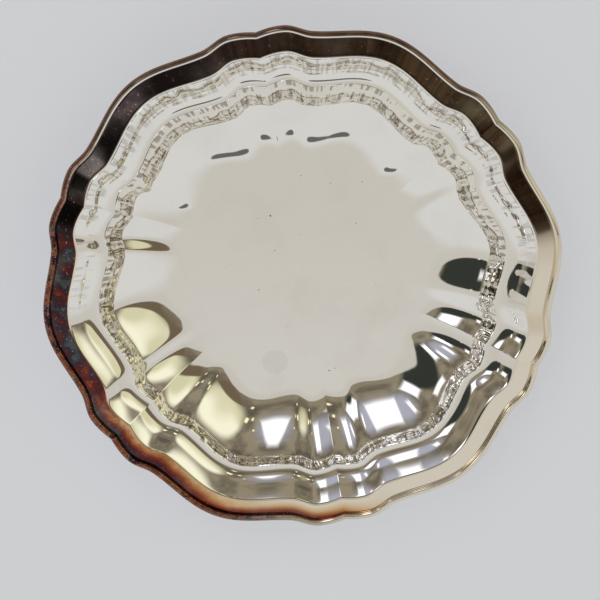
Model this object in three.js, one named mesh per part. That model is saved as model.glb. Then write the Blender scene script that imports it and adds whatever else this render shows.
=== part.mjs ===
// A silver-plated offering plate: one deep pressed dish with a six-lobed pie-crust edge, and a
// round rim moulding soldered along that edge in six mitred lengths. Millimetres, +Z up. The dish
// rests on its flat underside, with the origin at the centre of that face.
import * as THREE from "three";

// Driving dimensions
const RIM_RADIUS = 152.4; // outside of the moulding at the crown of a wide lobe
const RIM_WAVE = 6.0; // how far a wide lobe stands out from a hollow of the rim
const SHEET = 1.2; // thickness of the pressed sheet
const FLAT_RADIUS = 72; // flat centre, measured to the hollows of its scalloped edge
const FLAT_WAVE = 7.5; // the same wave at the edge of the flat centre
const LOWER_COVE_RADIUS = 49.5; // the section's own radius of curvature, as in the four below
const STEP_BEND_RADIUS = 1.8; // the crisp step between the two coves
const UPPER_COVE_RADIUS = 13.4;
const WALL_RADIUS = 56; // the slightly bulging wall above the upper cove
const LIP_BEND_RADIUS = 3.2;
const LOWER_COVE_END = THREE.MathUtils.degToRad(55); // slopes of the section, rising outwards
const UPPER_COVE_START = THREE.MathUtils.degToRad(-3);
const UPPER_COVE_END = THREE.MathUtils.degToRad(46);
const WALL_END = THREE.MathUtils.degToRad(38);
const FLANGE_SLOPE = THREE.MathUtils.degToRad(-14); // the border falls outwards
const MOULDING_WIDTH = 4.3;
const MOULDING_HEIGHT = 2.9;
const MOULDING_OVERHANG = 0.6; // how far the moulding hides the edge of the sheet
const JOINT_GAP = 0.3; // solder line between pieces

// The lobed outline repeats six times. Angles are from a cusp, heights are shares of the wave.
const LOBES = 6;
const SECTOR = (2 * Math.PI) / LOBES;
const SMALL_LOBE_ANGLE = THREE.MathUtils.degToRad(6.2); // cusp to the crown of the small lobe
const HOLLOW_ANGLE = THREE.MathUtils.degToRad(12.8); // cusp to the hollow beside the wide lobe
const CUSP_HEIGHT = 0.24;
const SMALL_LOBE_HEIGHT = 0.59;

const STEPS_PER_LOBE = 24;
const CUSP_CROWDING = 0.5; // 0 spaces the steps evenly, towards 1 crowds them at the cusps

// Height of the wave at an angle: 0 in the hollows, 1 at the crown of a wide lobe.
function scallop(angle) {
  const fromCusp = Math.abs(angle - SECTOR * Math.round(angle / SECTOR));
  if (fromCusp < SMALL_LOBE_ANGLE) {
    const rise = Math.sin(((Math.PI / 2) * fromCusp) / SMALL_LOBE_ANGLE);
    return CUSP_HEIGHT + (SMALL_LOBE_HEIGHT - CUSP_HEIGHT) * rise;
  }
  if (fromCusp < HOLLOW_ANGLE) {
    const fall = (fromCusp - SMALL_LOBE_ANGLE) / (HOLLOW_ANGLE - SMALL_LOBE_ANGLE);
    return (SMALL_LOBE_HEIGHT * (1 + Math.cos(Math.PI * fall))) / 2;
  }
  const rise = (fromCusp - HOLLOW_ANGLE) / (SECTOR / 2 - HOLLOW_ANGLE);
  return (1 - Math.cos(Math.PI * rise)) / 2;
}

// Angle of a step from 0 to 1 across one lobe, with the steps crowded towards its two cusps.
function lobeAngle(share) {
  return SECTOR * (share - (CUSP_CROWDING * Math.sin(2 * Math.PI * share)) / (2 * Math.PI));
}

// Points of a bend in the section, from its start to another slope. A positive radius curls up.
// Each point holds its radius and height, and the slope there, which gives the surface normal.
function bend(start, radius, endSlope, steps) {
  const points = [];
  for (let i = 1; i <= steps; i += 1) {
    const slope = start.slope + ((endSlope - start.slope) * i) / steps;
    points.push({
      r: start.r + radius * (Math.sin(slope) - Math.sin(start.slope)),
      z: start.z + radius * (Math.cos(start.slope) - Math.cos(slope)),
      slope,
    });
  }
  return points;
}

// Upper surface of the dish in section, in a hollow of the wave, from the axis out to the edge.
function upperSection() {
  const centre = { r: 0, z: SHEET, slope: 0 };
  const flatEdge = { r: FLAT_RADIUS, z: SHEET, slope: 0 };
  const lower = bend(flatEdge, LOWER_COVE_RADIUS, LOWER_COVE_END, 5);
  const step = bend(lower.at(-1), -STEP_BEND_RADIUS, UPPER_COVE_START, 3);
  const upper = bend(step.at(-1), UPPER_COVE_RADIUS, UPPER_COVE_END, 4);
  const wall = bend(upper.at(-1), -WALL_RADIUS, WALL_END, 1);
  const lip = bend(wall.at(-1), -LIP_BEND_RADIUS, FLANGE_SLOPE, 3);
  const crown = lip.at(-1);
  const edgeRadius = RIM_RADIUS - RIM_WAVE - MOULDING_OVERHANG;
  const edge = {
    r: edgeRadius,
    z: crown.z + (edgeRadius - crown.r) * Math.tan(FLANGE_SLOPE),
    slope: FLANGE_SLOPE,
  };
  return [centre, flatEdge, ...lower, ...step, ...upper, ...wall, ...lip, edge];
}

// The lower surface is the upper one moved down its own normal by the thickness of the sheet.
function belowSheet(point) {
  return {
    r: point.r + SHEET * Math.sin(point.slope),
    z: point.z - SHEET * Math.cos(point.slope),
  };
}

// The wave fades evenly from the rim to the flat centre.
function waveAt(radius) {
  const rimHollow = RIM_RADIUS - RIM_WAVE;
  const share = (rimHollow - radius) / (rimHollow - FLAT_RADIUS);
  return RIM_WAVE + (FLAT_WAVE - RIM_WAVE) * Math.min(share, 1);
}

const silver = () =>
  new THREE.MeshStandardMaterial({ color: 0xd8d4cc, metalness: 1, roughness: 0.08 });
const tarnished = () =>
  new THREE.MeshStandardMaterial({ color: 0x6a4a38, metalness: 1, roughness: 0.3 });

function makeDish(upper) {
  const lower = upper.map(belowSheet).reverse();
  const section = [...upper, ...lower].reverse();
  const steps = LOBES * STEPS_PER_LOBE;
  const profile = section.map((point) => new THREE.Vector2(point.r, point.z));
  const geometry = new THREE.LatheGeometry(profile, steps);
  const position = geometry.getAttribute("position");
  for (let i = 0; i <= steps; i += 1) {
    const lobe = Math.floor(i / STEPS_PER_LOBE) % LOBES;
    const angle = SECTOR * lobe + lobeAngle((i % STEPS_PER_LOBE) / STEPS_PER_LOBE);
    section.forEach((point, j) => {
      const radius = point.r === 0 ? 0 : point.r + waveAt(point.r) * scallop(angle);
      const x = radius * Math.cos(angle);
      const y = radius * Math.sin(angle);
      position.setXYZ(i * section.length + j, x, y, point.z);
    });
  }
  geometry.computeVertexNormals();
  const dish = new THREE.Mesh(geometry, silver());
  dish.name = "dish";
  return dish;
}

// One length of moulding: a D-shaped bar laid straight, then bent along the outline of the rim.
function makeMoulding(index, edge) {
  const section = new THREE.Shape();
  section.moveTo(-MOULDING_WIDTH / 2, 0);
  section.lineTo(MOULDING_WIDTH / 2, 0);
  section.absellipse(0, 0, MOULDING_WIDTH / 2, MOULDING_HEIGHT, 0, Math.PI, false, 0);
  const geometry = new THREE.ExtrudeGeometry(section, {
    depth: 1,
    steps: STEPS_PER_LOBE,
    curveSegments: 5,
    bevelEnabled: false,
  });
  const middle = RIM_RADIUS - RIM_WAVE - MOULDING_WIDTH / 2;
  const seat = edge.z - (edge.r - middle) * Math.tan(FLANGE_SLOPE) + JOINT_GAP;
  const halfGap = JOINT_GAP / 2 / RIM_RADIUS;
  const position = geometry.getAttribute("position");
  for (let i = 0; i < position.count; i += 1) {
    const along = lobeAngle(position.getZ(i));
    const angle = SECTOR * index + Math.min(Math.max(along, halfGap), SECTOR - halfGap);
    const across = -position.getX(i); // the other sign would turn the bar inside out
    const radius = middle + across + RIM_WAVE * scallop(angle);
    const height = seat + position.getY(i) + across * Math.tan(FLANGE_SLOPE);
    position.setXYZ(i, radius * Math.cos(angle), radius * Math.sin(angle), height);
  }
  geometry.computeVertexNormals();
  const moulding = new THREE.Mesh(geometry, tarnished());
  moulding.name = `rim_moulding_${index + 1}`;
  return moulding;
}

const upper = upperSection();
const group = new THREE.Group();
group.add(makeDish(upper));
for (let index = 0; index < LOBES; index += 1) {
  group.add(makeMoulding(index, upper.at(-1)));
}

export default group;
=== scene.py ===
import math

import bpy
import numpy as np
from mathutils import Matrix, Vector


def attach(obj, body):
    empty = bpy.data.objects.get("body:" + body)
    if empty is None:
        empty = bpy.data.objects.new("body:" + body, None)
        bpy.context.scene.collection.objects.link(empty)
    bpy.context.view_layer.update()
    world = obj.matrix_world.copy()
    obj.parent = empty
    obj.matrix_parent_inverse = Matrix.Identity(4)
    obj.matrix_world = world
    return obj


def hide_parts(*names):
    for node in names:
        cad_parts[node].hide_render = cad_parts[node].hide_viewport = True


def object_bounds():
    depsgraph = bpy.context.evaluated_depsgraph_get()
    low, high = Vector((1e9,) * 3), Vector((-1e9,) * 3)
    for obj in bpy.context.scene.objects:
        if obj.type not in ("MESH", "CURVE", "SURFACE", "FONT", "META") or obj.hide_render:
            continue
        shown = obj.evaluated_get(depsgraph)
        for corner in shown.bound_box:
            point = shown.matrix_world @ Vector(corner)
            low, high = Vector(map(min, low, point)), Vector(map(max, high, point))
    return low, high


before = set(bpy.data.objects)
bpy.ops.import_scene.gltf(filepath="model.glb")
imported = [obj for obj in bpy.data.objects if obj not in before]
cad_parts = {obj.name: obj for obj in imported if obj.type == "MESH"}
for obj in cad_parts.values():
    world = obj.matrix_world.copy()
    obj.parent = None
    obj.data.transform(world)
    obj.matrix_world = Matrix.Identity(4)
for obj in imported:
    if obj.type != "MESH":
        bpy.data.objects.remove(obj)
cad_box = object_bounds()

# ---------------------------------------------------------------- driving sizes, in metres
MM = 0.001
RIM_RADIUS = cad_box[1].y  # outside of the moulding at the crown of a wide lobe
RIM_WAVE = 6.0 * MM
HOLLOW_RADIUS = RIM_RADIUS - RIM_WAVE
SHEET = 1.2 * MM
FLAT_RADIUS = 72 * MM
FLAT_WAVE = 7.5 * MM
LOWER_COVE_RADIUS = 49.5 * MM  # the section's own radius of curvature, as in the four below
STEP_BEND_RADIUS = 1.8 * MM
UPPER_COVE_RADIUS = 13.4 * MM
WALL_RADIUS = 56 * MM
LIP_BEND_RADIUS = 3.2 * MM
LOWER_COVE_END = math.radians(55)  # slopes of the section, rising outwards
UPPER_COVE_START = math.radians(-3)
UPPER_COVE_END = math.radians(46)
WALL_END = math.radians(38)
FLANGE_SLOPE = math.radians(-14)
MOULDING_WIDTH = 4.3 * MM
MOULDING_HEIGHT = 2.9 * MM
MOULDING_OVERHANG = 0.6 * MM
SEAT_DEPTH = 0.05 * MM  # the solder lets the moulding sink this far into the border
HALF_MITRE = 0.04 * MM  # half of the seam between two lengths of moulding

# The lobed outline. Angles are from a cusp, heights are shares of the wave.
LOBES = 6
SECTOR = 2 * math.pi / LOBES
SMALL_LOBE_ANGLE = math.radians(6.2)
HOLLOW_ANGLE = math.radians(12.8)
CUSP_HEIGHT = 0.24
SMALL_LOBE_HEIGHT = 0.59

# Steps of the mesh along the outline, and along each stretch of the section.
STEPS_PER_LOBE = 112
CUSP_CROWDING = 0.6  # 0 spaces the steps evenly, towards 1 crowds them at the cusps
SHARP_ANGLE = math.radians(40)
FLAT_STEPS = 6
LOWER_COVE_STEPS = 30
STEP_BEND_STEPS = 12
UPPER_COVE_STEPS = 20
WALL_STEPS = 8
LIP_STEPS = 14
FLANGE_STEPS = 6
MOULDING_STEPS = 18

# A zone numbers a stretch of the section. A point's zone grows by 1 along its stretch, and the
# materials read it from the mesh.
FLAT, LOWER_COVE, STEP_BEND, UPPER_COVE, WALL, LIP, FLANGE, MOULDING = range(8)

# Slow, slight unevenness of the pressed sheet. The flat is true. Outside it the unevenness has
# grown to its full height one zone on from where it starts. Waves: length, turn and shift.
UNEVENNESS = 0.03 * MM
UNEVEN_START = 0.9
UNEVEN_WAVES = [(0.031, 0.4, 1.0), (0.023, 1.7, 2.2), (0.017, 2.9, 0.3), (0.041, 4.1, 5.0)]

# ---------------------------------------------------------------- the lobed outline


def scallop(angle):
    """Height of the wave at each angle: 0 in the hollows, 1 at the crown of a wide lobe."""
    off = np.abs(angle - SECTOR * np.round(angle / SECTOR))
    rise = np.sin(math.pi / 2 * off / SMALL_LOBE_ANGLE)
    small = CUSP_HEIGHT + (SMALL_LOBE_HEIGHT - CUSP_HEIGHT) * rise
    fall = (off - SMALL_LOBE_ANGLE) / (HOLLOW_ANGLE - SMALL_LOBE_ANGLE)
    valley = SMALL_LOBE_HEIGHT * (1 + np.cos(math.pi * fall)) / 2
    wide = (1 - np.cos(math.pi * (off - HOLLOW_ANGLE) / (SECTOR / 2 - HOLLOW_ANGLE))) / 2
    return np.where(off < SMALL_LOBE_ANGLE, small, np.where(off < HOLLOW_ANGLE, valley, wide))


def lobe_angle(share):
    """Angle of a step from 0 to 1 across one lobe, with the steps crowded towards its two cusps."""
    return SECTOR * (share - CUSP_CROWDING * np.sin(2 * math.pi * share) / (2 * math.pi))


def wave_at(radius):
    """The wave fades evenly from the rim to the edge of the flat, and to nothing at the axis."""
    share = np.clip((HOLLOW_RADIUS - radius) / (HOLLOW_RADIUS - FLAT_RADIUS), 0, 1)
    wave = RIM_WAVE + (FLAT_WAVE - RIM_WAVE) * share
    return wave * np.clip(radius / FLAT_RADIUS, 0, 1)


# ---------------------------------------------------------------- the section


def bend(start, radius, end_slope, steps, zone):
    """Points along an arc of the section: radius, height, slope and zone. A positive arc curls up."""
    points = []
    for i in range(1, steps + 1):
        slope = start[2] + (end_slope - start[2]) * i / steps
        r = start[0] + radius * (math.sin(slope) - math.sin(start[2]))
        z = start[1] + radius * (math.cos(start[2]) - math.cos(slope))
        points.append((r, z, slope, zone + i / steps))
    return points


def upper_section():
    """The upper surface in a hollow of the wave, from beside the axis out to the edge."""
    points = []
    for i in range(1, FLAT_STEPS + 1):
        points.append((FLAT_RADIUS * i / FLAT_STEPS, SHEET, 0.0, FLAT + i / FLAT_STEPS))
    points += bend(points[-1], LOWER_COVE_RADIUS, LOWER_COVE_END, LOWER_COVE_STEPS, LOWER_COVE)
    points += bend(points[-1], -STEP_BEND_RADIUS, UPPER_COVE_START, STEP_BEND_STEPS, STEP_BEND)
    points += bend(points[-1], UPPER_COVE_RADIUS, UPPER_COVE_END, UPPER_COVE_STEPS, UPPER_COVE)
    points += bend(points[-1], -WALL_RADIUS, WALL_END, WALL_STEPS, WALL)
    points += bend(points[-1], -LIP_BEND_RADIUS, FLANGE_SLOPE, LIP_STEPS, LIP)
    crown_r, crown_z = points[-1][:2]
    edge = HOLLOW_RADIUS - MOULDING_OVERHANG
    for i in range(1, FLANGE_STEPS + 1):
        r = crown_r + (edge - crown_r) * i / FLANGE_STEPS
        z = crown_z + (r - crown_r) * math.tan(FLANGE_SLOPE)
        points.append((r, z, FLANGE_SLOPE, FLANGE + i / FLANGE_STEPS))
    return points


def below_sheet(point):
    """The same point on the lower surface, one sheet away along the normal."""
    r, z, slope, zone = point
    return (r + SHEET * math.sin(slope), z - SHEET * math.cos(slope), slope, zone)


def unevenness(x, y):
    """The sheet's unevenness at each point, from -1 to 1."""
    total = np.zeros_like(x)
    for length, turn, shift in UNEVEN_WAVES:
        along = x * math.cos(turn) + y * math.sin(turn)
        total += np.sin(2 * math.pi * along / length + shift)
    return total / len(UNEVEN_WAVES)


# ---------------------------------------------------------------- the pieces


def add_mesh(name, vertices, faces, attributes):
    """A mesh object, smooth but for its sharp edges, with float attributes on its points."""
    mesh = bpy.data.meshes.new(name)
    mesh.from_pydata(vertices.tolist(), [], faces)
    mesh.update()
    for key, values in attributes.items():
        attribute = mesh.attributes.new(key, "FLOAT", "POINT")
        attribute.data.foreach_set("value", values.astype(np.float32))
    mesh.shade_smooth()
    mesh.set_sharp_from_angle(angle=SHARP_ANGLE)
    piece = bpy.data.objects.new(name, mesh)
    bpy.context.scene.collection.objects.link(piece)
    return piece


def make_dish(section):
    """One closed sheet: out along the upper surface, round the edge, and back in underneath."""
    upper = section
    # Every second point is enough below, but the innermost is kept.
    lower = [below_sheet(point) for point in section[::-2]] + [below_sheet(section[0])]
    rings = upper + lower
    share = np.arange(STEPS_PER_LOBE) / STEPS_PER_LOBE
    angle = np.concatenate([SECTOR * k + lobe_angle(share) for k in range(LOBES)])
    count = len(angle)
    wave = scallop(angle)
    points, zones, under = [], [], []
    for number, (r, z, _, zone) in enumerate(rings):
        radius = r + wave_at(r) * wave
        x, y = radius * np.cos(angle), radius * np.sin(angle)
        growth = min(1, zone - UNEVEN_START) if zone > LOWER_COVE else 0
        points.append(np.stack([x, y, z + UNEVENNESS * growth * unevenness(x, y)], 1))
        zones.append(np.full(count, zone))
        under.append(np.full(count, 0.0 if number < len(upper) else 1.0))
    points.append(np.array([[0, 0, SHEET], [0, 0, 0]]))
    zones.append(np.zeros(2))
    under.append(np.array([0.0, 1.0]))
    faces = []
    for ring in range(len(rings) - 1):
        a, b = ring * count, (ring + 1) * count
        for i in range(count):
            j = (i + 1) % count
            faces.append((a + i, b + i, b + j, a + j))
    last = (len(rings) - 1) * count
    top, bottom = last + count, last + count + 1
    for i in range(count):
        j = (i + 1) % count
        faces.append((top, i, j))
        faces.append((bottom, last + j, last + i))
    attributes = {"zone": np.concatenate(zones), "under": np.concatenate(under)}
    dish = add_mesh("plate_dish", np.concatenate(points), faces, attributes)
    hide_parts("dish")
    return dish


def make_moulding(index, edge):
    """One mitred length of the D-shaped moulding, soldered down on the border."""
    name = f"rim_moulding_{index + 1}"
    middle = HOLLOW_RADIUS - MOULDING_WIDTH / 2
    seat = edge[1] - (edge[0] - middle) * math.tan(FLANGE_SLOPE) - SEAT_DEPTH
    bow = np.linspace(math.pi, 0, MOULDING_STEPS + 1)
    base = [MOULDING_WIDTH / 4, -MOULDING_WIDTH / 4]
    across = np.concatenate([MOULDING_WIDTH / 2 * np.cos(bow), base])
    height = np.concatenate([MOULDING_HEIGHT * np.sin(bow), [0, 0]])
    share = np.arange(STEPS_PER_LOBE + 1) / STEPS_PER_LOBE
    angle = SECTOR * index + lobe_angle(share)
    angle[0] += HALF_MITRE / RIM_RADIUS
    angle[-1] -= HALF_MITRE / RIM_RADIUS
    wave = scallop(angle)
    points = []
    for a, h in zip(across, height):
        radius = middle + a + RIM_WAVE * wave
        z = np.full(len(angle), seat + h + a * math.tan(FLANGE_SLOPE))
        points.append(np.stack([radius * np.cos(angle), radius * np.sin(angle), z], 1))
    count, sides = len(angle), len(across)
    faces = []
    for s in range(sides):
        a, b = s * count, ((s + 1) % sides) * count
        for i in range(count - 1):
            faces.append((a + i, b + i, b + i + 1, a + i + 1))
    faces.append([s * count for s in range(sides)][::-1])
    faces.append([s * count + count - 1 for s in range(sides)])
    zones = MOULDING + np.repeat(across / MOULDING_WIDTH + 0.5, count)
    piece = add_mesh("plate_" + name, np.concatenate(points), faces, {"zone": zones})
    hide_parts(name)
    return piece


# ---------------------------------------------------------------- node helper


class Nodes:
    """A short way to write a node tree: each method adds one node and returns its output."""

    def __init__(self, tree):
        self.tree = tree
        tree.nodes.clear()

    def add(self, kind, **settings):
        node = self.tree.nodes.new(kind)
        for key, value in settings.items():
            setattr(node, key, value)
        return node

    def put(self, socket, value):
        if isinstance(value, bpy.types.NodeSocket):
            self.tree.links.new(value, socket)
        elif value is not None:
            socket.default_value = value

    def math(self, operation, *values, clamp=False):
        node = self.add("ShaderNodeMath", operation=operation, use_clamp=clamp)
        for socket, value in zip(node.inputs, values):
            self.put(socket, value)
        return node.outputs[0]

    def times(self, a, b):
        return self.math("MULTIPLY", a, b)

    def plus(self, a, b):
        return self.math("ADD", a, b)

    def larger(self, a, b):
        return self.math("MAXIMUM", a, b)

    def times_plus(self, a, b, c):
        return self.math("MULTIPLY_ADD", a, b, c)

    def distance(self, a, b):
        """How far apart two numbers are."""
        return self.math("ABSOLUTE", self.math("SUBTRACT", a, b))

    def vector(self, operation, *values, output="Vector"):
        node = self.add("ShaderNodeVectorMath", operation=operation)
        for socket, value in zip(node.inputs, values):
            self.put(socket, value)
        return node.outputs[output]

    def dot(self, vector, direction):
        return self.vector("DOT_PRODUCT", vector, direction, output="Value")

    def attribute(self, name):
        return self.add("ShaderNodeAttribute", attribute_name=name).outputs["Fac"]

    def rise(self, value, start, end):
        """0 before start and 1 past end, with a smooth change between. Start may be above end."""
        falls = start > end
        node = self.add("ShaderNodeMapRange", interpolation_type="SMOOTHSTEP")
        self.put(node.inputs["Value"], value)
        self.put(node.inputs["From Min"], min(start, end))
        self.put(node.inputs["From Max"], max(start, end))
        self.put(node.inputs["To Min"], 1.0 if falls else 0.0)
        self.put(node.inputs["To Max"], 0.0 if falls else 1.0)
        return node.outputs["Result"]

    def mix(self, factor, a, b):
        node = self.add("ShaderNodeMix", data_type="RGBA")
        self.put(node.inputs["Factor"], factor)
        self.put(node.inputs["A"], a)
        self.put(node.inputs["B"], b)
        return node.outputs["Result"]

    def noise(self, vector, scale, detail, roughness):
        node = self.add("ShaderNodeTexNoise")
        self.put(node.inputs["Vector"], vector)
        self.put(node.inputs["Scale"], scale)
        self.put(node.inputs["Detail"], detail)
        self.put(node.inputs["Roughness"], roughness)
        self.put(node.inputs["Distortion"], 0.0)
        return node.outputs["Fac"]

    def ramp(self, value, stops):
        node = self.add("ShaderNodeValToRGB")
        self.put(node.inputs[0], value)
        line = node.color_ramp
        while len(line.elements) > 1:
            line.elements.remove(line.elements[-1])
        line.elements[0].position, line.elements[0].color = stops[0]
        for position, colour in stops[1:]:
            line.elements.new(position).color = colour
        return node.outputs["Color"]

    def scaled(self, vector, scale):
        node = self.add("ShaderNodeMapping")
        self.put(node.inputs["Vector"], vector)
        self.put(node.inputs["Scale"], scale)
        return node.outputs["Vector"]

    def bump(self, height, distance, normal=None):
        node = self.add("ShaderNodeBump")
        self.put(node.inputs["Strength"], 1.0)
        self.put(node.inputs["Distance"], distance)
        self.put(node.inputs["Height"], height)
        self.put(node.inputs["Normal"], normal)
        return node.outputs["Normal"]


def linear(red, green, blue):
    """A colour from 0 to 255 a channel, as the linear colour that shaders use."""
    out = []
    for channel in (red, green, blue):
        c = channel / 255
        out.append(c / 12.92 if c <= 0.04045 else ((c + 0.055) / 1.055) ** 2.4)
    return (*out, 1.0)


def new_material(name):
    """A material, its node tree, and the one surface shader that the tree starts with."""
    material = bpy.data.materials.new(name)
    material.use_nodes = True
    n = Nodes(material.node_tree)
    shader = n.add("ShaderNodeBsdfPrincipled")
    out = n.add("ShaderNodeOutputMaterial")
    n.put(out.inputs["Surface"], shader.outputs["BSDF"])
    return material, n, shader


# ---------------------------------------------------------------- directions in the picture

# The picture shows the plate turned about its own axis, and tilted a little back. Right and up
# lie in the plane of the plate.
TURN = math.radians(19.83)
TILT = math.radians(13.7)
RIGHT = Vector((math.cos(TURN), math.sin(TURN), 0))
UP = Vector((-math.sin(TURN), math.cos(TURN), 0))
AXIS = Vector((0, 0, 1))


def facing(azimuth, polar):
    """A direction, in degrees: azimuth from the picture's right to its top, polar from the axis."""
    a, p = math.radians(azimuth), math.radians(polar)
    return (RIGHT * math.cos(a) + UP * math.sin(a)) * math.sin(p) + AXIS * math.cos(p)


def side_towards(n, side, azimuth):
    """1 on the side of the plate that lies at an azimuth, and -1 on the far side from it."""
    return n.dot(side, facing(azimuth, 90))


# ---------------------------------------------------------------- colours and marks

# Where each film, toning or painted shade is at its fullest round the plate, as an azimuth.
TOP_FILM_AND_SHADE_SIDE = 90
LEFT_FILM_AND_SHADE_SIDE = 148
DEEPEST_SIDE = 183
TONED_SIDE = 200
FOOT_SIDE = 248
RED_SIDE = 208
CLEAN_SIDE = 335

# Toning from clean silver to the thickest film: beige, brown, red, navy, teal, and brown again.
TONING = [
    (0.00, linear(247, 244, 238)),
    (0.12, linear(238, 226, 204)),
    (0.26, linear(220, 186, 138)),
    (0.38, linear(184, 122, 76)),
    (0.48, linear(136, 68, 48)),
    (0.58, linear(104, 44, 40)),
    (0.68, linear(72, 46, 50)),
    (0.78, linear(58, 56, 66)),
    (0.86, linear(76, 92, 96)),
    (0.93, linear(96, 74, 66)),
    (1.00, linear(84, 60, 54)),
]
# The dark film along the top of the border: partly tarnish, partly painted shade, darker than tarnish
# alone to stand for the dark room it mirrors.
TOP_FILM_AND_SHADE = linear(66, 53, 48)
TOP_FILM_AND_SHADE_WORN = linear(86, 68, 58)
# Darker still at the left: more painted shade over the tarnish.
LEFT_FILM_AND_SHADE = linear(48, 39, 39)
# Partly grime and partly painted shade: dark strokes in the two tight bends.
GRIME_AND_PAINTED_SHADE = linear(118, 107, 82)
HAZE = linear(214, 205, 190)
STAIN = linear(150, 150, 140)
MARK = linear(70, 64, 58)
DUST = linear(196, 138, 122)
WORN_PLATING = linear(176, 150, 112)

MOULDING_RED = linear(112, 66, 48), linear(168, 116, 88)
MOULDING_OLIVE = linear(112, 93, 74), linear(144, 122, 98)
# A painted highlight along the inner side of the moulding.
MOULDING_PAINTED_HIGHLIGHT = linear(248, 245, 240)
MOULDING_NAVY = linear(58, 40, 48)
MOULDING_TEAL = linear(56, 92, 100)
# The outer half of the moulding is darker: partly tarnish, partly painted shade.
MOULDING_OUTSIDE_AND_SHADE = linear(104, 66, 54)
MOULDING_FROST = linear(214, 160, 142)
MOULDING_CLEAN = linear(236, 226, 206)

CRINKLE_HEIGHT = 0.75 * MM
SCRATCH_DEPTH = 0.0004 * MM
MOULDING_ROUGHNESS = 0.014 * MM

FLOOR_TONES = linear(166, 166, 169), linear(174, 174, 176)
FLOOR_GLOW = linear(196, 198, 203)
FLOOR_GLOW_STRENGTH = 0.64  # stands in for the soft light of a whole studio

# Dark marks on the flat, and one faint stain: right, up and radius, in millimetres.
MARKS = [
    (-18.5, 33.5, 0.55), (-16.0, 12.5, 0.30), (-26.0, 32.0, 0.25), (-1.5, 22.0, 0.22),
    (32.0, 29.0, 0.30), (-0.5, 57.5, 0.30), (17.0, 53.0, 0.25), (35.5, 54.0, 0.30),
    (-25.5, -11.5, 0.35), (16.5, -61.5, 0.45), (20.0, -60.0, 0.30), (-9.0, -34.0, 0.20),
    (44.0, -8.0, 0.22), (-43.0, 4.0, 0.20),
]
STAIN_PLACE = (-16, -56, 8)

# ---------------------------------------------------------------- materials


def round_side(n, where):
    """The direction from the axis to the point being shaded, level and of unit length."""
    return n.vector("NORMALIZE", n.vector("MULTIPLY", where, (1, 1, 0)))


def from_flat_point(n, where, right, up):
    """How far the point being shaded is from a place on the flat, given in millimetres."""
    place = (RIGHT * right + UP * up) * MM + AXIS * SHEET
    return n.vector("DISTANCE", where, place, output="Value")


def toning_depth(n, where, zone, side):
    """How thick the toning is, from 0 on clean silver to 1 where it is darkest."""
    left = n.rise(side_towards(n, side, TONED_SIDE), 0.30, 0.93)
    deep = n.rise(side_towards(n, side, DEEPEST_SIDE), 0.70, 0.97)
    foot = n.rise(side_towards(n, side, FOOT_SIDE), 0.70, 0.95)
    across = n.rise(zone, FLANGE - 0.1, MOULDING + 0.1)
    on_left = n.times(left, n.times_plus(across, 0.62, 0.26))
    on_left = n.larger(on_left, n.times(deep, 0.62))
    on_foot = n.times(foot, n.times(across, 0.74))
    patch = n.math("SUBTRACT", n.noise(where, 105, 4, 0.66), 0.5)
    patch = n.times(patch, n.times_plus(deep, 0.75, n.times(left, 0.35)))
    depth = n.plus(n.plus(n.larger(on_left, on_foot), 0.10), patch)
    on_border = n.rise(zone, LIP + 0.35, LIP + 0.75)
    return n.math("MULTIPLY", on_border, n.larger(depth, 0.0), clamp=True)


def top_film_and_shade(n, zone, side):
    """The black-brown film along the top of the border, partly tarnish and partly painted shade,
    darker still at the left: where it lies, and its colour.
    """
    film_and_shade = n.rise(side_towards(n, side, TOP_FILM_AND_SHADE_SIDE), 0.13, 0.27)
    film_and_shade = n.times(film_and_shade, n.rise(zone, LIP + 0.45, LIP + 0.7))
    streak = n.rise(n.noise(n.scaled(side, (14, 14, 14)), 3, 3, 0.6), 0.35, 0.65)
    colour = n.mix(streak, TOP_FILM_AND_SHADE, TOP_FILM_AND_SHADE_WORN)
    # Darker still towards the left: more painted shade over the tarnish.
    colour = n.mix(n.rise(side_towards(n, side, LEFT_FILM_AND_SHADE_SIDE), 0.70, 0.96), colour, LEFT_FILM_AND_SHADE)
    return film_and_shade, colour


def marks_on_flat(n, where):
    """1 inside each small dark mark on the flat, 0 elsewhere."""
    total = 0.0
    for right, up, radius in MARKS:
        away = from_flat_point(n, where, right, up)
        total = n.larger(total, n.rise(away, radius * 1.5 * MM, radius * 0.6 * MM))
    return total


def stain_on_flat(n, where):
    """1 inside the faint stain, 0 elsewhere, with an uneven edge."""
    right, up, radius = STAIN_PLACE
    away = from_flat_point(n, where, right, up)
    away = n.times_plus(n.noise(where, 260, 2, 0.6), 2.5 * MM, away)
    return n.rise(away, (radius + 1.6) * MM, radius * MM)


def stretched_across(n, where, side, around, along):
    """A place for noise to read, so that its grains are short round the plate and long across."""
    return n.vector("MULTIPLY_ADD", side, (around,) * 3, n.scaled(where, (along,) * 3))


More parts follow.
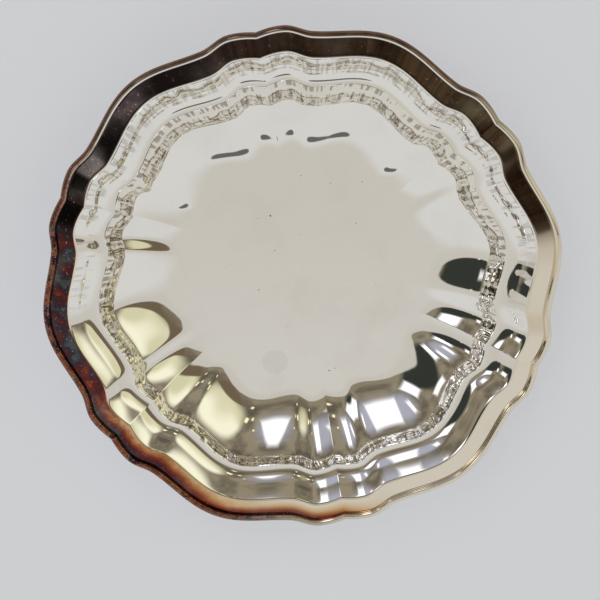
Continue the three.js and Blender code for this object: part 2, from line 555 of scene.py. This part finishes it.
def crinkles(n, where, side, zone):
    """Chatter of the pressing in the two tight bends: its height, and the dark strokes in it, partly
    grime caught there and partly painted shade.
    """
    top = side_towards(n, side, 90)
    start = n.math("SUBTRACT", zone, n.times_plus(top, -0.12, LOWER_COVE + 0.8))
    lower_band = n.times(n.rise(start, -0.06, 0.06), n.rise(zone, STEP_BEND + 0.9, STEP_BEND + 0.6))
    upper_band = n.rise(zone, UPPER_COVE + 0.5, UPPER_COVE + 0.75)
    upper_band = n.times(upper_band, n.rise(zone, LIP + 0.3, LIP + 0.05))
    upper_band = n.times(upper_band, n.rise(top, -0.35, 0.25))
    chatter = n.noise(stretched_across(n, where, side, 0.07, 0.45), 155, 0, 0.0)
    height = n.times(chatter, n.times_plus(n.larger(lower_band, upper_band), 0.98, 0.02))
    # The grime and painted shade lie in short strokes, in two rows along each band.
    strokes = n.noise(stretched_across(n, where, side, 0.11, 0.12), 470, 1, 0.4)
    from_middle = n.math("MINIMUM", n.distance(zone, LOWER_COVE + 0.88), n.distance(zone, WALL + 0.35))
    dirty_and_shaded = n.larger(lower_band, n.times(upper_band, 0.5))
    strokes = n.times(n.rise(strokes, 0.49, 0.40), n.rise(from_middle, 0.02, 0.06))
    return height, n.times(dirty_and_shaded, strokes)


def silver_material():
    """The dish: mirror-bright silver, toned along the border and darkened there with painted shade,
    with grime and painted shade in its bends, marked on the flat, worn beneath.
    """
    material, n, shader = new_material("silver_plate_toned_with_painted_shade")
    where = n.add("ShaderNodeTexCoord").outputs["Object"]
    zone = n.attribute("zone")
    under = n.attribute("under")
    above = n.math("SUBTRACT", 1.0, under)
    side = round_side(n, where)
    depth = n.times(toning_depth(n, where, zone, side), above)
    # The film along the top of the border is partly tarnish, partly painted shade.
    film_and_shade, film_and_shade_colour = top_film_and_shade(n, zone, side)
    film_and_shade = n.times(film_and_shade, above)
    colour = n.mix(film_and_shade, n.ramp(depth, TONING), film_and_shade_colour)
    depth = n.larger(depth, n.times(film_and_shade, 0.5))
    ripple, grime_and_shade = crinkles(n, where, side, zone)
    # Dark strokes in the bends: partly grime, partly painted shade.
    colour = n.mix(n.times(grime_and_shade, n.times(above, 0.62)), colour, GRIME_AND_PAINTED_SHADE)
    haze = n.rise(n.noise(where, 28, 4, 0.6), 0.45, 0.75)
    colour = n.mix(n.times(haze, 0.16), colour, HAZE)
    colour = n.mix(n.times(stain_on_flat(n, where), 0.10), colour, STAIN)
    marks = marks_on_flat(n, where)
    colour = n.mix(n.times(marks, 0.75), colour, MARK)
    dust = n.rise(n.noise(where, 700, 2, 0.5), 0.66, 0.71)
    colour = n.mix(n.times(dust, n.rise(depth, 0.40, 0.60)), colour, DUST)
    worn = n.times(n.rise(n.noise(where, 45, 5, 0.65), 0.40, 0.72), 0.4)
    colour = n.mix(n.times(under, worn), colour, WORN_PLATING)
    n.put(shader.inputs["Base Color"], colour)
    n.put(shader.inputs["Metallic"], 1.0)
    rough = n.times_plus(n.noise(where, 35, 3, 0.6), 0.05, 0.015)
    rough = n.plus(rough, n.times(depth, 0.14))
    rough = n.plus(rough, n.times(n.larger(marks, under), 0.16))
    n.put(shader.inputs["Roughness"], rough)
    scratches = n.rise(n.noise(n.scaled(where, (1, 0.02, 1)), 2600, 2, 0.7), 0.60, 0.75)
    normal = n.bump(ripple, CRINKLE_HEIGHT)
    n.put(shader.inputs["Normal"], n.bump(scratches, SCRATCH_DEPTH, normal))
    return material


def moulding_material():
    """The moulding: red-brown and mottled at the left, olive at the top, clean at the right, with a
    painted highlight along its inner side and a darker outer half, partly tarnish and partly painted
    shade.
    """
    material, n, shader = new_material("rim_plate_toned_with_painted_light")
    where = n.add("ShaderNodeTexCoord").outputs["Object"]
    zone = n.attribute("zone")
    side = round_side(n, where)
    clean = n.rise(side_towards(n, side, CLEAN_SIDE), 0.15, 0.75)
    left = n.rise(side_towards(n, side, RED_SIDE), 0.30, 0.80)
    patch = n.noise(where, 110, 4, 0.65)
    red = n.mix(n.rise(patch, 0.38, 0.62), *MOULDING_RED)
    olive = n.mix(n.rise(patch, 0.35, 0.65), *MOULDING_OLIVE)
    # Painted highlight: the inner side of the moulding is near white.
    olive = n.mix(n.rise(zone, MOULDING + 0.5, MOULDING + 0.25), olive, MOULDING_PAINTED_HIGHLIGHT)
    colour = n.mix(left, olive, red)
    colour = n.mix(n.times(left, n.rise(patch, 0.52, 0.60)), colour, MOULDING_NAVY)
    teal = n.times(left, n.rise(n.noise(where, 140, 3, 0.6), 0.60, 0.66))
    colour = n.mix(teal, colour, MOULDING_TEAL)
    # The darker outer half: partly tarnish, partly painted shade.
    outside_and_shade = n.rise(zone, MOULDING + 0.5, MOULDING + 0.9)
    colour = n.mix(n.times(outside_and_shade, 0.55), colour, MOULDING_OUTSIDE_AND_SHADE)
    frost = n.rise(n.noise(where, 1150, 2, 0.6), 0.57, 0.66)
    colour = n.mix(n.times(frost, n.times(left, 0.75)), colour, MOULDING_FROST)
    colour = n.mix(clean, colour, MOULDING_CLEAN)
    n.put(shader.inputs["Base Color"], colour)
    n.put(shader.inputs["Metallic"], 1.0)
    rough = n.times_plus(left, 0.20, 0.06)
    n.put(shader.inputs["Roughness"], n.plus(rough, n.times(frost, 0.15)))
    n.put(shader.inputs["Normal"], n.bump(n.noise(where, 900, 3, 0.6), MOULDING_ROUGHNESS))
    return material


def floor_material():
    """A pale, dull floor that glows a little."""
    material, n, shader = new_material("pale_floor")
    where = n.add("ShaderNodeTexCoord").outputs["Object"]
    tone = n.noise(where, 3, 2, 0.5)
    n.put(shader.inputs["Base Color"], n.mix(tone, *FLOOR_TONES))
    n.put(shader.inputs["Roughness"], 0.8)
    n.put(shader.inputs["Emission Color"], FLOOR_GLOW)
    n.put(shader.inputs["Emission Strength"], FLOOR_GLOW_STRENGTH)
    return material


# ---------------------------------------------------------------- what the mirror shows

# A pale table fills the sky below a horizon, and a room fills it above. The horizon lies a
# little towards the picture's foot from the plate's axis.
HORIZON_TILT = math.radians(6)
TABLE = linear(216, 217, 217)
TABLE_FAR = linear(203, 200, 194)
ROOM = linear(150, 141, 122)
ROOM_DARK = linear(96, 90, 78)
BACKDROP = linear(205, 206, 212)

# Places in the sky: azimuth, polar angle, width, height and soft edge, in degrees.
HAND_PLACE = (273, 27, 10, 9, 1.2)
HAND = linear(104, 101, 102)
DOORWAY_PLACE = (187, 48, 32, 70, 4)
DOORWAY = linear(52, 56, 52)
BLUE_WALL_PLACE = (118, 46, 52, 64, 18)
BLUE_WALL = linear(176, 179, 196)
SOFT_LIGHT_PLACE = (22, 50, 54, 70, 10)
SOFT_LIGHT = linear(216, 214, 180), linear(255, 254, 230)
SHELF_PLACE = (350, 48, 20, 76, 2)
SHELF = linear(112, 98, 80)
WINDOW_PLACES = [
    (106, 47, 12, 50, 4), (134, 50, 8, 30, 4), (160, 34, 13, 36, 4), (172, 74, 7, 12, 4),
]
WINDOW = (1.9, 1.93, 2.05, 1)
LAMP_PLACES = [
    (60, 28, 5, 9, 1), (50, 9, 3, 5, 1), (76, 24, 3, 6, 1), (84, 40, 3, 4, 1),
    (192, 45, 4, 7, 1), (184, 64, 4, 5, 1), (204, 22, 3, 4, 1),
]
LAMP = (1.2, 1.1, 0.72, 1)


def patch_of_sky(n, way, place, is_round=False):
    """1 inside a place in the sky, 0 outside, with a soft edge within it."""
    azimuth, polar, width, height, soft = place
    middle = facing(azimuth, polar)
    across = AXIS.cross(middle).normalized()
    rise = middle.cross(across)
    half_width, half_height = math.radians(width) / 2, math.radians(height) / 2
    u = n.math("ABSOLUTE", n.math("DIVIDE", n.dot(way, across), half_width))
    v = n.math("ABSOLUTE", n.math("DIVIDE", n.dot(way, rise), half_height))
    if is_round:
        reach = n.math("SQRT", n.plus(n.times(u, u), n.times(v, v)))
    else:
        reach = n.larger(u, v)
    edge = math.radians(soft) / min(half_width, half_height)
    inside = n.rise(reach, 1.0, max(0.0, 1.0 - edge))
    in_front = n.rise(n.dot(way, middle), 0.0, 0.1)
    return n.times(inside, in_front)


def table_colour(n, way, lift):
    """The table, a little darker far off, with the one dark shape that stands on it."""
    table = n.mix(n.rise(lift, -0.06, -0.30), TABLE_FAR, TABLE)
    return n.mix(patch_of_sky(n, way, HAND_PLACE, is_round=True), table, HAND)


def room_colour(n, way):
    """The room: uneven walls, a doorway, a blue wall, a soft light, a shelf, windows and lamps."""
    room = n.mix(n.rise(n.noise(way, 2.2, 3, 0.55), 0.35, 0.65), ROOM_DARK, ROOM)
    room = n.mix(patch_of_sky(n, way, DOORWAY_PLACE), room, DOORWAY)
    room = n.mix(patch_of_sky(n, way, BLUE_WALL_PLACE, is_round=True), room, BLUE_WALL)
    glow = n.mix(n.rise(n.noise(way, 1.6, 0, 0.5), 0.35, 0.65), *SOFT_LIGHT)
    room = n.mix(patch_of_sky(n, way, SOFT_LIGHT_PLACE, is_round=True), room, glow)
    room = n.mix(patch_of_sky(n, way, SHELF_PLACE), room, SHELF)
    for place in WINDOW_PLACES:
        room = n.mix(patch_of_sky(n, way, place), room, WINDOW)
    for place in LAMP_PLACES:
        room = n.mix(patch_of_sky(n, way, place), room, LAMP)
    return room


def make_world():
    """The sky in the mirror. It is plain and pale below the plate, and for the camera itself."""
    world = bpy.data.worlds.new("studio")
    bpy.context.scene.world = world
    world.use_nodes = True
    n = Nodes(world.node_tree)
    way = n.add("ShaderNodeTexCoord").outputs["Generated"]
    lift = n.dot(way, UP * math.cos(HORIZON_TILT) + AXIS * math.sin(HORIZON_TILT))
    colour = n.mix(n.rise(lift, -0.01, 0.01), table_colour(n, way, lift), room_colour(n, way))
    colour = n.mix(n.rise(n.dot(way, AXIS), 0.10, -0.02), colour, BACKDROP)
    shown = n.add("ShaderNodeBackground")
    n.put(shown.inputs["Color"], colour)
    backdrop = n.add("ShaderNodeBackground")
    n.put(backdrop.inputs["Color"], BACKDROP)
    pick = n.add("ShaderNodeMixShader")
    n.put(pick.inputs[0], n.add("ShaderNodeLightPath").outputs["Is Camera Ray"])
    n.put(pick.inputs[1], shown.outputs[0])
    n.put(pick.inputs[2], backdrop.outputs[0])
    out = n.add("ShaderNodeOutputWorld")
    n.put(out.inputs["Surface"], pick.outputs[0])


# ---------------------------------------------------------------- floor, light and camera

FLOOR_HALF = 3.0
FLOOR_DROP = 0.2 * MM  # keeps the floor clear of the plate's underside

KEY_AZIMUTH, KEY_POLAR = 125, 40  # degrees
KEY_SPREAD = math.radians(60)  # as the plate sees it
KEY_DISTANCE = 3.0
KEY_BRIGHTNESS = 0.30

LENS = 132.0  # on a sensor of 36, both in millimetres
SENSOR = 36.0
CAMERA_DISTANCE = 1.279
CAMERA_CENTRE = AXIS * 0.030  # the point on the axis that the camera stands square to
AIM_DOWN = 10.2 * MM
AIM_LEFT = 1.0 * MM


def matrix_from(x, y, z, place):
    """The matrix of an object with these three axes at a place."""
    rows = [(x[i], y[i], z[i], place[i]) for i in range(3)]
    return Matrix((*rows, (0, 0, 0, 1)))


def make_floor():
    """A level square floor just under the plate."""
    mesh = bpy.data.meshes.new("floor")
    half = FLOOR_HALF
    corners = [(-half, -half, 0), (half, -half, 0), (half, half, 0), (-half, half, 0)]
    mesh.from_pydata(corners, [], [(0, 1, 2, 3)])
    floor = bpy.data.objects.new("floor", mesh)
    floor.location.z = -FLOOR_DROP
    bpy.context.scene.collection.objects.link(floor)
    floor.data.materials.append(floor_material())


def make_key_light():
    """A broad soft light from high on the left. The mirror doesn't show it."""
    way = facing(KEY_AZIMUTH, KEY_POLAR)
    light = bpy.data.lights.new("soft_key", "AREA")
    light.shape = "RECTANGLE"
    light.size = 2 * KEY_DISTANCE * math.tan(KEY_SPREAD / 2)
    light.size_y = light.size
    light.energy = KEY_BRIGHTNESS * math.pi * light.size * light.size_y
    panel = bpy.data.objects.new("soft_key", light)
    across = UP.cross(way).normalized()
    panel.matrix_world = matrix_from(across, way.cross(across), way, way * KEY_DISTANCE)
    panel.visible_camera = False
    panel.visible_glossy = False
    bpy.context.scene.collection.objects.link(panel)


def make_camera():
    """The camera looks almost straight into the dish, from a little above its axis."""
    data = bpy.data.cameras.new("camera")
    data.sensor_width = SENSOR
    data.lens = LENS
    camera = bpy.data.objects.new("camera", data)
    bpy.context.scene.collection.objects.link(camera)
    place = CAMERA_CENTRE + (UP * math.sin(TILT) + AXIS * math.cos(TILT)) * CAMERA_DISTANCE
    up = UP * math.cos(TILT) - AXIS * math.sin(TILT)
    aim = CAMERA_CENTRE - up * AIM_DOWN - RIGHT * AIM_LEFT
    back = (place - aim).normalized()
    across = up.cross(back).normalized()
    camera.matrix_world = matrix_from(across, back.cross(across), back, place)
    bpy.context.scene.camera = camera


# ---------------------------------------------------------------- build

make_camera()
section = upper_section()
dish = make_dish(section)
dish.data.materials.append(silver_material())
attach(dish, "root")
toned_with_painted_light = moulding_material()
for index in range(LOBES):
    moulding = make_moulding(index, section[-1])
    moulding.data.materials.append(toned_with_painted_light)
    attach(moulding, "root")
make_floor()
make_world()
make_key_light()
bpy.context.scene.view_settings.view_transform = "Standard"
